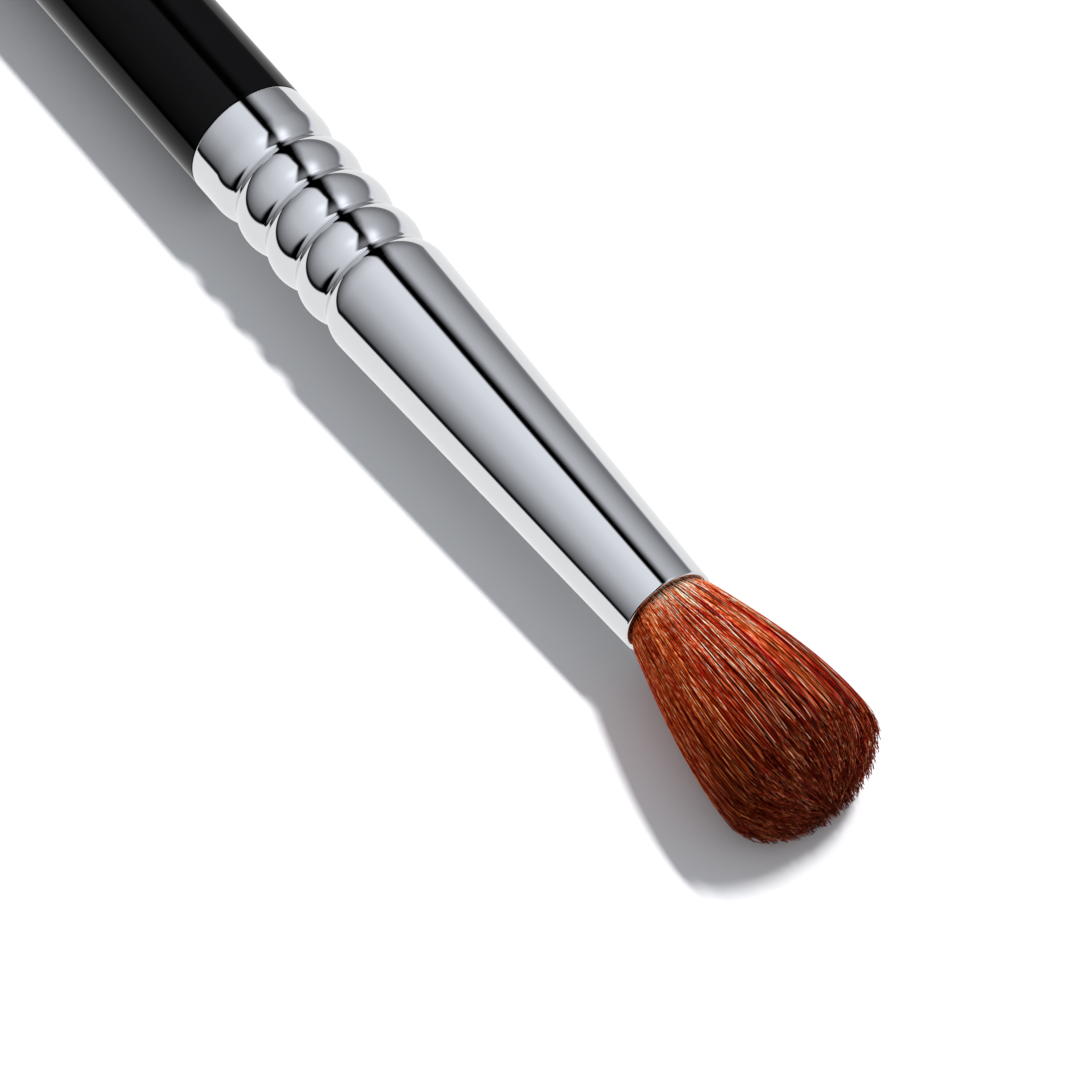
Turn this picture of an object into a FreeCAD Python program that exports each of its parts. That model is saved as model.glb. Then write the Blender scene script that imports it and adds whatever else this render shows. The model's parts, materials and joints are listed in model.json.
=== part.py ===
import FreeCAD, Part
import math
import os
import Sketcher

# Eyeshadow brush lying on a table. The axis runs along X and the hair points to +X.
# Every profile is drawn from the butt of the handle at x = 0, with the radius upwards,
# and is turned about the axis. Lengths are in millimetres.

SIZES = {
    # handle
    "handle_length": 124.0,
    "handle_straight": 30.0,
    "tail_diameter": 4.8,
    "lacquer_thickness": 0.12,
    # ferrule
    "ferrule_length": 42.4,
    "ferrule_diameter": 8.05,
    "mouth_diameter": 5.92,
    "ferrule_wall": 0.35,
    "rim_radius": 0.15,
    "cuff_length": 3.9,
    "bead_count": 3,
    "bead_pitch": 3.12,
    "groove_depth": 0.45,
    "groove_radius": 0.35,
    # tenon of the handle, glued into the ferrule
    "tenon_past_beads": 4.0,
    "tenon_chamfer": 0.6,
    "glue_film": 0.1,
    # hair outside the ferrule
    "bristle_length": 15.8,
    "bristle_diameter": 10.0,
    "dome_height": 3.4,
    "flare_radius": 24.0,
    "shoulder_radius": 2.2,
    # hair inside the ferrule, with its binding and its resin
    "thread_diameter": 0.4,
    "thread_turns": 4,
    "thread_pitch": 0.85,
    "resin_cover": 3.0,
    "resin_grip_share": 0.32,
    # clearances
    "air_gap": 6.6,
    "binding_gap": 0.5,
    "bond_gap": 0.02,
    "hair_gap": 0.03,
}

DERIVED = {
    # places along the axis
    "mouth_x": "sizes.handle_length + sizes.ferrule_length",
    "overall": "mouth_x + sizes.bristle_length",
    "taper_start": "sizes.handle_length - sizes.handle_straight",
    "half_pitch": "sizes.bead_pitch / 2",
    "first_groove": "sizes.handle_length + sizes.cuff_length",
    "last_groove": "first_groove + sizes.bead_count * sizes.bead_pitch",
    "tenon_end": "last_groove + half_pitch + sizes.tenon_past_beads",
    # handle, turned flush with the ferrule; its taper is one long arc into a round tail
    "crest_radius": "sizes.ferrule_diameter / 2",
    "tail_radius": "sizes.tail_diameter / 2",
    "taper_run": "taper_start - tail_radius",
    "taper_radius": "(crest_radius ^ 2 + taper_run ^ 2 - tail_radius ^ 2)"
                    " / (2 * (crest_radius - tail_radius))",
    "taper_sin": "taper_run / (taper_radius - tail_radius)",
    "taper_cos": "(taper_radius - crest_radius) / (taper_radius - tail_radius)",
    "core_inset": "sizes.lacquer_thickness + sizes.bond_gap",
    # rolled beads: crest arcs and groove arcs that run into each other
    "roll_sum": "(half_pitch ^ 2 + sizes.groove_depth ^ 2) / (2 * sizes.groove_depth)",
    "bead_radius": "roll_sum - sizes.groove_radius",
    # cone, tangent to the last crest arc
    "mouth_radius": "sizes.mouth_diameter / 2",
    "cone_start": "last_groove + half_pitch",
    "cone_run": "mouth_x - cone_start",
    "cone_drop": "crest_radius - bead_radius - mouth_radius",
    "cone_square": "cone_run ^ 2 + cone_drop ^ 2",
    "cone_line": "sqrt(cone_square - bead_radius ^ 2)",
    "cone_cos": "(cone_run * cone_line - cone_drop * bead_radius) / cone_square",
    "cone_sin": "(cone_drop * cone_line + cone_run * bead_radius) / cone_square",
    # what fits inside the ferrule
    "fill_inset": "sizes.ferrule_wall + sizes.bond_gap",
    "tenon_radius": "crest_radius - sizes.groove_depth - sizes.ferrule_wall - sizes.glue_film",
    "root_radius": "mouth_radius - sizes.ferrule_wall / cone_cos - sizes.hair_gap",
    "resin_back": "tenon_end + sizes.air_gap",
    "root_butt": "resin_back + sizes.resin_cover",
    "resin_front": "root_butt + sizes.resin_grip_share * (mouth_x - root_butt)",
    "waist_radius": "root_radius - sizes.thread_diameter",
    "waist_back": "resin_front + sizes.binding_gap",
    "waist_front": "waist_back + sizes.thread_turns * sizes.thread_pitch + 1.2 * sizes.thread_diameter",
    "winding_radius": "waist_radius + sizes.bond_gap + sizes.thread_diameter / 2",
    # hair outside: straight flare, arc to the widest place, shoulder, crown centred on the axis
    "head_radius": "sizes.bristle_diameter / 2",
    "head_start": "mouth_x + sizes.bond_gap",
    "widest_x": "overall - sizes.dome_height",
    "flare_run": "widest_x - head_start",
    "flare_rise": "head_radius - sizes.flare_radius - root_radius",
    "flare_square": "flare_run ^ 2 + flare_rise ^ 2",
    "flare_line": "sqrt(flare_square - sizes.flare_radius ^ 2)",
    "flare_cos": "(flare_run * flare_line - flare_rise * sizes.flare_radius) / flare_square",
    "flare_sin": "(flare_rise * flare_line + flare_run * sizes.flare_radius) / flare_square",
    "shoulder_height": "head_radius - sizes.shoulder_radius",
    "crown_radius": "(sizes.dome_height ^ 2 + shoulder_height ^ 2 - sizes.shoulder_radius ^ 2)"
                    " / (2 * (sizes.dome_height - sizes.shoulder_radius))",
    "crown_share": "sizes.shoulder_radius / (crown_radius - sizes.shoulder_radius)",
    # the brush lies on its ferrule and handle
    "axis_height": "crest_radius",
}

doc = FreeCAD.newDocument("eyeshadow_brush")
parts = []


def fill_sheet(name, rows):
    sheet = doc.addObject("Spreadsheet::Sheet", name)
    for row, (alias, content) in enumerate(rows.items(), start=1):
        sheet.set(f"A{row}", str(content))
        sheet.setAlias(f"A{row}", alias)
        doc.recompute()
    return sheet


sizes = fill_sheet("sizes", SIZES)
derived = fill_sheet("derived", {alias: "=" + formula for alias, formula in DERIVED.items()})


def number(expression):
    return float(derived.evalExpression(expression))


def d(alias):
    return f"derived.{alias}"


def s(alias):
    return f"sizes.{alias}"


# A profile is a list of corners. Each corner is (x, radius, link to the next corner).
# A link is None for a line, or (radius, side) for an arc with its centre on that side:
# "right" of the way along the profile or "left" of it.


def backwards(corners):
    """The same run of corners, drawn from its last corner to its first."""
    other = {"left": "right", "right": "left"}
    links = [corner[2] for corner in corners[:-1]]
    turned = [link and (link[0], other[link[1]]) for link in reversed(links)]
    turned.append(None)
    return [(c[0], c[1], link) for c, link in zip(reversed(corners), turned)]


def arc_between(start, end, radius, side):
    chord = end - start
    middle = (start + end) * 0.5
    rise = math.sqrt(radius ** 2 - (chord.Length / 2) ** 2)
    across = FreeCAD.Vector(-chord.y, chord.x, 0)
    across.normalize()
    centre = middle + across * (rise if side == "left" else -rise)
    circle = Part.Circle(centre, FreeCAD.Vector(0, 0, 1), radius)
    first, last = (start, end) if side == "left" else (end, start)
    return Part.ArcOfCircle(circle, circle.parameter(first), circle.parameter(last))


def bind(sketch, constraint, name, expression):
    index = sketch.addConstraint(constraint)
    sketch.renameConstraint(index, name)
    sketch.setExpression("Constraints." + name, expression)


def new_sketch(body, name):
    sketch = body.newObject("Sketcher::SketchObject", name)
    plane = [f for f in body.Origin.OriginFeatures if f.Role == "XZ_Plane"][0]
    sketch.AttachmentSupport = (plane, [""])
    sketch.MapMode = "FlatFace"
    doc.recompute()
    return sketch


def draw(sketch, corners):
    """Draws the closed profile and binds every corner and every arc to the sheets."""
    places = [FreeCAD.Vector(number(x), number(r), 0) for x, r, _ in corners]
    begins, ends = [], []
    for i, (_, _, link) in enumerate(corners):
        start = places[i]
        end = places[(i + 1) % len(corners)]
        if link is None:
            edge = Part.LineSegment(start, end)
        else:
            edge = arc_between(start, end, number(link[0]), link[1])
        index = sketch.addGeometry(edge)
        clockwise = link is not None and link[1] == "right"
        begins.append((index, 2 if clockwise else 1))
        ends.append((index, 1 if clockwise else 2))
    for i in range(len(corners)):
        sketch.addConstraint(Sketcher.Constraint("Coincident", *ends[i - 1], *begins[i]))
    for i, (x, radius, link) in enumerate(corners):
        place = places[i]
        bind(sketch, Sketcher.Constraint("DistanceX", -1, 1, *begins[i], place.x), f"x_{i}", x)
        if radius == "0":
            sketch.addConstraint(Sketcher.Constraint("PointOnObject", *begins[i], -1))
        else:
            bind(sketch, Sketcher.Constraint("DistanceY", -1, 1, *begins[i], place.y), f"y_{i}", radius)
        if link is not None:
            bind(sketch, Sketcher.Constraint("Radius", begins[i][0], number(link[0])), f"r_{i}", link[0])


def new_body(label):
    body = doc.addObject("PartDesign::Body", label)
    body.Label = label
    body.setExpression("Placement.Base.x", "-derived.overall / 2")
    body.setExpression("Placement.Base.z", "derived.axis_height")
    parts.append(body)
    return body


def turned(label, corners):
    """A body made by turning a profile about the brush's axis."""
    body = new_body(label)
    sketch = new_sketch(body, label + "_profile")
    draw(sketch, corners)
    doc.recompute()
    turn = body.newObject("PartDesign::Revolution", label + "_turned")
    turn.Profile = sketch
    turn.ReferenceAxis = (sketch, ["H_Axis"])
    turn.Angle = 360.0
    sketch.Visibility = False
    doc.recompute()
    return body


def handle_run(inset):
    """Outside of the handle, moved inwards: round tail, long taper, straight front."""
    tail = f"({d('tail_radius')} - {inset})"
    front = f"{d('crest_radius')} - {inset}"
    return [
        (inset, "0", (tail, "right")),
        (f"{d('tail_radius')} - {tail} * {d('taper_sin')}", f"{tail} * {d('taper_cos')}",
         (f"{d('taper_radius')} - {inset}", "right")),
        (d("taper_start"), front, None),
        (s("handle_length"), front, None),
    ]


def bead_run(inset):
    """Beads of the ferrule, moved inwards: from the cuff to the start of the cone."""
    crest = f"{d('bead_radius')} - {inset}"
    groove = f"({s('groove_radius')} + {inset})"
    reach = f"{d('half_pitch')} * {groove} / {d('roll_sum')}"
    floor = f"{d('crest_radius')} - {s('groove_depth')} + {s('groove_radius')}"
    meet = f"{floor} - {groove} * ({d('roll_sum')} - {s('groove_depth')}) / {d('roll_sum')}"
    run = [(f"{d('first_groove')} - {d('half_pitch')}", f"{d('crest_radius')} - {inset}", (crest, "right"))]
    for k in range(int(sizes.bead_count) + 1):
        middle = f"{d('first_groove')} + {k} * {s('bead_pitch')}"
        run.append((f"{middle} - {reach}", meet, (groove, "left")))
        run.append((f"{middle} + {reach}", meet, (crest, "right")))
    run.append((f"{d('cone_start')} + ({crest}) * {d('cone_sin')}",
                f"{d('crest_radius')} - {d('bead_radius')} + ({crest}) * {d('cone_cos')}", None))
    return run


def cone_radius(x, inset):
    """Radius of the cone at a place along the axis, moved inwards."""
    drop = f"({d('mouth_x')} - ({x})) * {d('cone_sin')} / {d('cone_cos')}"
    return f"{d('mouth_radius')} - {inset} / {d('cone_cos')} + {drop}"


def handle_core():
    front = s("handle_length")
    shank = d("tenon_radius")
    bevel = s("tenon_chamfer")
    return turned("handle_core", handle_run(d("core_inset")) + [
        (front, shank, None),
        (f"{d('tenon_end')} - {bevel}", shank, None),
        (d("tenon_end"), f"{shank} - {bevel}", None),
        (d("tenon_end"), "0", None),
    ])


def lacquer_coat():
    return turned("lacquer_coat", handle_run("0") + backwards(handle_run(s("lacquer_thickness"))))


def ferrule():
    rim = s("rim_radius")
    wall = s("ferrule_wall")
    back = s("handle_length")
    mouth = d("mouth_x")
    outside = [
        (back, f"{d('crest_radius')} - {rim}", (rim, "right")),
        (f"{back} + {rim}", d("crest_radius"), None),
    ]
    outside += bead_run("0")
    lip = f"{mouth} - {rim}"
    outside.append((lip, cone_radius(lip, "0"), (rim, "right")))
    outside.append((mouth, f"{d('mouth_radius')} - {rim}", None))
    inside = [(back, f"{d('crest_radius')} - {wall}", None)]
    inside += bead_run(wall)
    inside.append((mouth, cone_radius(mouth, wall), None))
    return turned("ferrule", outside + backwards(inside))


def tenon_glue():
    inset = d("fill_inset")
    bore = f"{d('tenon_radius')} + {s('bond_gap')}"
    back = s("handle_length")
    front = d("tenon_end")
    run = [(back, bore, None), (back, f"{d('crest_radius')} - {inset}", None)]
    run += bead_run(inset)
    run.append((front, cone_radius(front, inset), None))
    run.append((front, bore, None))
    return turned("tenon_glue", run)


def hair_root():
    outside = d("root_radius")
    waist = d("waist_radius")
    return turned("hair_root", [
        (d("root_butt"), "0", None),
        (d("root_butt"), outside, None),
        (d("waist_back"), outside, None),
        (d("waist_back"), waist, None),
        (d("waist_front"), waist, None),
        (d("waist_front"), outside, None),
        (d("mouth_x"), outside, None),
        (d("mouth_x"), "0", None),
    ])


def resin_plug():
    inset = d("fill_inset")
    back = d("resin_back")
    front = d("resin_front")
    seat = f"{d('root_butt')} - {s('bond_gap')}"
    bore = f"{d('root_radius')} + {s('bond_gap')}"
    return turned("resin_plug", [
        (back, "0", None),
        (back, cone_radius(back, inset), None),
        (front, cone_radius(front, inset), None),
        (front, bore, None),
        (seat, bore, None),
        (seat, "0", None),
    ])


def bristle_head():
    """The soft head, turned and then pressed flat where it lies on the table."""
    flare_end = f"{d('widest_x')} - {s('flare_radius')} * {d('flare_sin')}"
    flare_top = f"{d('head_radius')} - {s('flare_radius')} + {s('flare_radius')} * {d('flare_cos')}"
    crown_back = f"({d('overall')} - {d('crown_radius')})"
    share = f"(1 + {d('crown_share')})"
    body = turned("bristle_head", [
        (d("head_start"), "0", None),
        (d("head_start"), d("root_radius"), None),
        (flare_end, flare_top, (s("flare_radius"), "right")),
        (d("widest_x"), d("head_radius"), (s("shoulder_radius"), "right")),
        (f"{crown_back} + ({d('widest_x')} - {crown_back}) * {share}",
         f"{d('shoulder_height')} * {share}", (d("crown_radius"), "right")),
        (d("overall"), "0", None),
    ])
    flat = new_sketch(body, "bristle_head_flat")
    below = f"-{d('axis_height')} - {d('head_radius')}"
    draw(flat, [
        (d("mouth_x"), f"-{d('axis_height')}", None),
        (f"{d('overall')} + {d('head_radius')}", f"-{d('axis_height')}", None),
        (f"{d('overall')} + {d('head_radius')}", below, None),
        (d("mouth_x"), below, None),
    ])
    doc.recompute()
    press = body.newObject("PartDesign::Pocket", "bristle_head_pressed")
    press.Profile = flat
    press.Type = "ThroughAll"
    press.Midplane = True
    flat.Visibility = False
    doc.recompute()
    return body


def biarc(start, way_in, end, way_out):
    """Two arcs from start to end that run into each other and keep both directions."""
    gap = end - start
    both = way_in + way_out
    square = 2 * (1 - way_in.dot(way_out))
    along = gap.dot(both)
    reach = (math.sqrt(along ** 2 + square * gap.dot(gap)) - along) / square
    first = start + way_in * reach
    second = end - way_out * reach
    middle = (first + second) * 0.5
    return [half_arc(start, first, middle), half_arc(middle, second, end)]


def half_arc(start, corner, end):
    """Arc from start to end that touches the two lines through the corner."""
    middle = (start + end) * 0.5
    half = (end - start).Length / 2
    height = (corner - middle).Length
    radius = half * math.hypot(half, height) / height
    rise = radius - math.sqrt(radius ** 2 - half ** 2)
    top = middle + (corner - middle) * (rise / height)
    return Part.Arc(start, top, end).toShape()


def binding_thread():
    """The winding, one unbroken thread laid in quarter turns round the waist of the hair."""
    thread = number(s("thread_diameter"))
    pitch = number(s("thread_pitch"))
    turns = number(s("thread_turns"))
    radius = number(d("winding_radius"))
    back = number(d("waist_back")) + 0.6 * thread
    quarters = int(round(turns * 4))
    step = math.pi / 2

    def place(k):
        return FreeCAD.Vector(back + pitch * k / 4, radius * math.cos(k * step), radius * math.sin(k * step))

    def way(k):
        forward = FreeCAD.Vector(pitch / 4, -radius * step * math.sin(k * step), radius * step * math.cos(k * step))
        return forward.normalize()

    arcs = []
    for k in range(quarters):
        arcs += biarc(place(k), way(k), place(k + 1), way(k + 1))
    ring = Part.Wire(Part.Circle(place(0), way(0), thread / 2).toShape())
    winding = doc.addObject("Part::Feature", "binding_thread")
    winding.Label = "binding_thread"
    winding.Shape = Part.Wire(arcs).makePipeShell([ring], True, False)
    winding.setExpression("Placement.Base.x", "-derived.overall / 2")
    winding.setExpression("Placement.Base.z", "derived.axis_height")
    doc.recompute()
    parts.append(winding)
    print("binding_thread: gap between turns", round(pitch - thread, 3), "mm")
    return winding


def check(part):
    if any(word in part.State for word in ("Invalid", "Error")):
        raise RuntimeError(f"{part.Label} did not build: {part.State}")
    if part.Shape.isNull() or not part.Shape.isValid():
        raise RuntimeError(f"{part.Label} has no valid shape")
    if len(part.Shape.Solids) != 1:
        raise RuntimeError(f"{part.Label} is {len(part.Shape.Solids)} solids")


handle_core()
lacquer_coat()
ferrule()
tenon_glue()
hair_root()
binding_thread()
resin_plug()
bristle_head()
doc.recompute()

for item in doc.Objects:
    if any(word in item.State for word in ("Invalid", "Error")):
        raise RuntimeError(f"{item.Label} did not build: {item.State}")
os.makedirs("parts", exist_ok=True)
for part in parts:
    check(part)
    part.Shape.exportStep(f"parts/{part.Label}.step")
    box = part.Shape.BoundBox
    print(part.Label, "volume", round(part.Shape.Volume, 2), "mm3, x", round(box.XMin, 3), "to",
          round(box.XMax, 3), ", z", round(box.ZMin, 3), "to", round(box.ZMax, 3))
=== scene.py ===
import json
import math

import bpy
import numpy as np
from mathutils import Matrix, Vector


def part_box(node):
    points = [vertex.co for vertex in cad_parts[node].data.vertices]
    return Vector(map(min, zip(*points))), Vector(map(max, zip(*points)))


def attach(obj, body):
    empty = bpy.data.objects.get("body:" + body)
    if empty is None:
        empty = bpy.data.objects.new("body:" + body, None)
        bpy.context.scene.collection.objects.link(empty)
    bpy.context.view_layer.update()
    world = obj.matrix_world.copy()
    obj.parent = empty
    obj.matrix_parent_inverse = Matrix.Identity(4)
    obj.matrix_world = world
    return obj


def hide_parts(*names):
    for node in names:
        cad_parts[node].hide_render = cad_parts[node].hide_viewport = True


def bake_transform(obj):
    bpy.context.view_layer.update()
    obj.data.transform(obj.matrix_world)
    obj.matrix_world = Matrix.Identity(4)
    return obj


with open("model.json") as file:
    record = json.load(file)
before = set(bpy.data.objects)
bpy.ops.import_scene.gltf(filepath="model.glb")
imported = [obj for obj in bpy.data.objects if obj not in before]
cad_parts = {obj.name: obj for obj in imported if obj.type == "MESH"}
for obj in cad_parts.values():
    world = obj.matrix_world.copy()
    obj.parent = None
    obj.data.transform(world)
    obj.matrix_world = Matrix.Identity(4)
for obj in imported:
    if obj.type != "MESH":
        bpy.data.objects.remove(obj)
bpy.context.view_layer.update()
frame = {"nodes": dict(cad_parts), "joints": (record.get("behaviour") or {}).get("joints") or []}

mm = 0.001
tiny = 1e-7  # a length below this counts as none
scene = bpy.context.scene
scene.view_settings.view_transform = "Standard"

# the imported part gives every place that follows
bend = next(j for j in frame["joints"] if j["name"] == "hair_bend")
mouth = Vector(bend["pos_m"])  # middle of the ferrule's open end
axisHeight = mouth.z
headLow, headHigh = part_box("bristle_head")
rootLow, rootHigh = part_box("hair_root")
tubeLow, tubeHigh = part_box("ferrule")
coatLow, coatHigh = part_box("lacquer_coat")


# helpers

def addObject(name, mesh):
    obj = bpy.data.objects.new(name, mesh)
    scene.collection.objects.link(obj)
    return obj


def newPaint(name):
    paint = bpy.data.materials.new(name)
    paint.use_nodes = True
    return paint, paint.node_tree.nodes, paint.node_tree.links


def rampNode(nodes, stops):
    node = nodes.new("ShaderNodeValToRGB")
    ramp = node.color_ramp
    while len(ramp.elements) < len(stops):
        ramp.elements.new(0.5)
    for element, (place, colour) in zip(ramp.elements, stops):
        element.position = place
        element.color = (*colour, 1) if isinstance(colour, tuple) else (colour, colour, colour, 1)
    return node


def noiseNode(nodes, links, scale, stretch=(1, 1, 1), detail=4.0, roughness=0.55):
    place = nodes.new("ShaderNodeTexCoord")
    pull = nodes.new("ShaderNodeMapping")
    pull.inputs["Scale"].default_value = stretch
    noise = nodes.new("ShaderNodeTexNoise")
    noise.inputs["Scale"].default_value = scale
    noise.inputs["Detail"].default_value = detail
    noise.inputs["Roughness"].default_value = roughness
    links.new(place.outputs["Object"], pull.inputs["Vector"])
    links.new(pull.outputs["Vector"], noise.inputs["Vector"])
    return noise


def rangeNode(nodes, links, source, low, high, fromLow=0.0, fromHigh=1.0):
    node = nodes.new("ShaderNodeMapRange")
    node.inputs["From Min"].default_value = fromLow
    node.inputs["From Max"].default_value = fromHigh
    node.inputs["To Min"].default_value = low
    node.inputs["To Max"].default_value = high
    links.new(source, node.inputs["Value"])
    return node


def mathNode(nodes, links, operation, first, second):
    node = nodes.new("ShaderNodeMath")
    node.operation = operation
    links.new(first, node.inputs[0])
    links.new(second, node.inputs[1])
    return node.outputs["Value"]


# input 0 is the share, inputs 6 and 7 are the two colours, and output 2 is the result
def colourMix(nodes, way="MIX"):
    node = nodes.new("ShaderNodeMix")
    node.data_type = "RGBA"
    node.blend_type = way
    return node


# camera, fitted to the picture's 1080 x 1080 frame

camera = {
    "lens": 266.67,  # mm, as the sensor is
    "sensor": 36.0,
    "clip": (0.01, 20.0),
    "azimuth": -35.07,  # degrees from +X, minus is towards -Y
    "elevation": 52.84,
    "distance": 452.3 * mm,
    "target": (66.94 * mm, -2.97 * mm, 4.025 * mm),
}


def placeCamera(c):
    data = bpy.data.cameras.new("pictureCamera")
    data.lens = c["lens"]
    data.sensor_width = c["sensor"]
    data.clip_start, data.clip_end = c["clip"]
    turn, lift = math.radians(c["azimuth"]), math.radians(c["elevation"])
    back = Vector((math.cos(lift) * math.cos(turn), math.cos(lift) * math.sin(turn), math.sin(lift)))
    obj = bpy.data.objects.new("pictureCamera", data)
    obj.location = Vector(c["target"]) + back * c["distance"]
    obj.rotation_euler = (-back).to_track_quat("-Z", "Y").to_euler()
    scene.collection.objects.link(obj)
    scene.camera = obj


placeCamera(camera)
print("camera placed")


# studio: pale floor, a bent tent of lit cloth that only polished surfaces see, and one key lamp

studio = {
    "floorReach": 3.0,
    "floorColour": (0.87, 0.87, 0.88, 1),
    "floorLift": (0.03, 0.60),  # glow of the floor near the brush and far off, so that it reads white
    "liftPlace": (0.30, 1.30),  # how far out these two are
    "worldFill": (0.33, 0.67),  # from the -Y side and from the +Y side
    "bounceShare": 0.6,  # how much of the tent the floor gets by way of the metal
    "fillColour": (0.91, 0.95, 1.0, 1),
    "keyPower": 7.6,
    "keySize": (0.26, 0.05),  # along the brush and across it
    "keyDistance": 0.9,
    "keyLean": 29.0,  # degrees from straight up, to +Y
    "keyBack": 30 * mm,  # from the mouth towards the handle
}

tent = {
    "radius": 0.55,
    "reach": (-1.40, 1.30),  # radians seen along the brush, back and front
    "angles": (-91.0, 112.0),  # degrees round the brush from straight up, + is the -Y side
    "colour": (0.925, 0.945, 1.0, 1),
    "gapGlow": (-5.0, 0.30, 18.0, 0.12, 0.26),  # between its two lit areas, given as a hot spot is
}

# the two lit areas of the tent: glow by angle, fade along the brush in metres,
# and the soft edges that bound them
nearLight = {
    "glow": [(-12, 1.07), (2, 1.04), (14, 1.0), (24, 0.92), (40, 0.79), (56, 0.69), (72, 0.49),
             (91, 0.25), (96, 0.19), (100, 0.127), (103.5, 0.01), (110, 0.005)],
    "along": [(-2.0, 0.40), (-1.1, 0.58), (-0.6, 0.85), (-0.19, 1.0), (0.1, 1.08)],
    "start": [(-1.5, -12.0), (-0.6, -9.5), (-0.19, -5.2), (0.0, -5.2), (0.33, 11.5)],
    "startSoft": [(-0.6, 4.0), (-0.19, 2.2), (0.0, 2.2), (0.3, 6.0)],
    "front": [(40, 0.50), (56, 0.33), (64, 0.28), (72, 0.23), (80, 0.19), (88, 0.15), (100, 0.11)],
    "frontSoft": 0.05,
    "hem": (110.0, 1.2),  # below it all is white
    "hotSpot": (10.0, 0.09, 9.0, 0.09, 0.28),  # angle, place, spread of both, glow
}
farLight = {
    "glow": [(-91, 0.24), (-77, 0.245), (-69, 0.336), (-53, 0.489),
             (-37, 0.636), (-31, 0.645), (-15, 0.62)],
    "along": [(-1.5, 0.10), (-1.1, 0.35), (-0.8, 0.95), (-0.19, 1.0)],
    "start": [(-1.5, -80.0), (-0.8, -46.0), (-0.45, -30.0), (-0.19, -20.5), (0.0, -16.0)],
    "startSoft": [(-0.8, 13.0), (-0.45, 11.0), (-0.19, 8.0), (0.0, 4.5)],
    "foot": [(-0.45, -97.0), (-0.19, -87.5), (0.0, -81.0), (0.15, -76.0)],  # below it the wall is white
    "footSoft": 4.0,
    "hotSpot": (-26.0, 0.20, 9.5, 0.16, 0.78),
}


def gridMesh(name, rows):
    across = len(rows[0])
    points = [p for row in rows for p in row]
    faces = []
    for i in range(len(rows) - 1):
        for k in range(across - 1):
            a = i * across + k
            faces.append((a, a + 1, a + across + 1, a + across))
    mesh = bpy.data.meshes.new(name)
    mesh.from_pydata(points, [], faces)
    return mesh


def hideFromPicture(obj):  # the tent shows in polished surfaces alone
    obj.visible_camera = False
    obj.visible_diffuse = False
    obj.visible_shadow = False
    obj.visible_transmission = False
    obj.visible_volume_scatter = False


def stepBetween(value, pairs):
    return np.interp(value, *zip(*pairs))


def softStep(t):
    t = np.clip(0.5 + 0.5 * t, 0, 1)
    return t * t * (3 - 2 * t)


def softSpot(x, angle, spot):
    middle, place, wide, long, glow = spot
    return glow * np.exp(-((angle - middle) / wide) ** 2 - ((x - place) / long) ** 2)


def tentGlow(x, angle):
    near = stepBetween(angle, nearLight["glow"]) * stepBetween(x, nearLight["along"])
    near += softSpot(x, angle, nearLight["hotSpot"])
    start, soft = stepBetween(x, nearLight["start"]), stepBetween(x, nearLight["startSoft"])
    near *= softStep((angle - start) / soft)
    near *= softStep((stepBetween(angle, nearLight["front"]) - x) / nearLight["frontSoft"])
    far = stepBetween(angle, farLight["glow"]) * stepBetween(x, farLight["along"])
    far += softSpot(x, angle, farLight["hotSpot"])
    start, soft = stepBetween(x, farLight["start"]), stepBetween(x, farLight["startSoft"])
    far *= softStep((start - angle) / soft)
    wall = softStep((stepBetween(x, farLight["foot"]) - angle) / farLight["footSoft"])
    hem, hemSoft = nearLight["hem"]
    bare = softStep((angle - hem) / hemSoft)
    return near * (1 - bare) + bare + far * (1 - wall) + wall + softSpot(x, angle, tent["gapGlow"])


def glowSheet(name, rows, glow):
    mesh = gridMesh(name, rows)
    mesh.attributes.new("glow", "FLOAT", "POINT").data.foreach_set("value", np.ravel(glow))
    paint, nodes, links = newPaint(name)
    nodes.remove(nodes["Principled BSDF"])
    level = nodes.new("ShaderNodeAttribute")
    level.attribute_name = "glow"
    light = nodes.new("ShaderNodeEmission")
    light.inputs["Color"].default_value = tent["colour"]
    path = nodes.new("ShaderNodeLightPath")
    straight = rangeNode(nodes, links, path.outputs["Diffuse Depth"], 1.0, studio["bounceShare"])
    strength = mathNode(nodes, links, "MULTIPLY", straight.outputs["Result"], level.outputs["Fac"])
    links.new(strength, light.inputs["Strength"])
    links.new(light.outputs["Emission"], nodes["Material Output"].inputs["Surface"])
    paint.cycles.emission_sampling = "NONE"
    mesh.materials.append(paint)
    obj = addObject(name, mesh)
    hideFromPicture(obj)


def lightTent(rows=290, columns=150):
    angles, looks = np.linspace(*tent["angles"], rows), np.linspace(*tent["reach"], columns)
    angle, look = np.meshgrid(angles, looks, indexing="ij")
    x = tent["radius"] * np.tan(look)
    y = -tent["radius"] * np.sin(np.radians(angle))
    z = axisHeight + tent["radius"] * np.cos(np.radians(angle))
    glowSheet("lightTent", np.stack([x, y, z], 2).tolist(), tentGlow(x, angle))


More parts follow.
